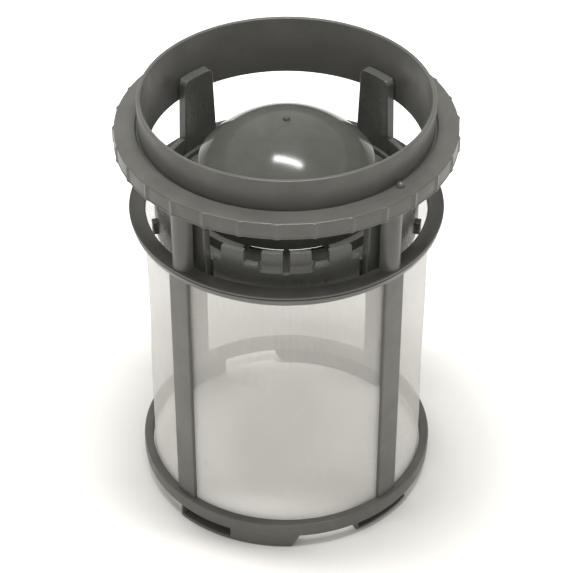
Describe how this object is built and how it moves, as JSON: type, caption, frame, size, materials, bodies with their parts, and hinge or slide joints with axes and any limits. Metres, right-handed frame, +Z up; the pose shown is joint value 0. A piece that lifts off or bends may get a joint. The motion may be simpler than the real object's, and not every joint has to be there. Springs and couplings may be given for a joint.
{
  "type": "dishwasher filter",
  "caption": "Cylindrical dishwasher sump filter: mesh cage with bayonet lugs, a domed coarse strainer and a serrated grip collar.",
  "frame": {"origin": "centre of the overall bounding box in X and Y, at the feet of the bayonet lugs in Z", "axes": "+Z up along the filter's axis towards the collar, -Y towards the front, which has the castellated strainer wall, +X to the right"},
  "size_m": [0.0906, 0.0906, 0.123],
  "materials": {
    "housing_plastic": "satin, moulded",
    "strainer_plastic": "satin, moulded",
    "cage_plastic": "satin, moulded",
    "woven_mesh": "fine open weave"
  },
  "bodies": {
    "root": {"upper_housing": "housing_plastic", "coarse_strainer": "strainer_plastic", "mesh_cage": "cage_plastic", "mesh_sleeve": "woven_mesh"}
  },
  "joints": []
}
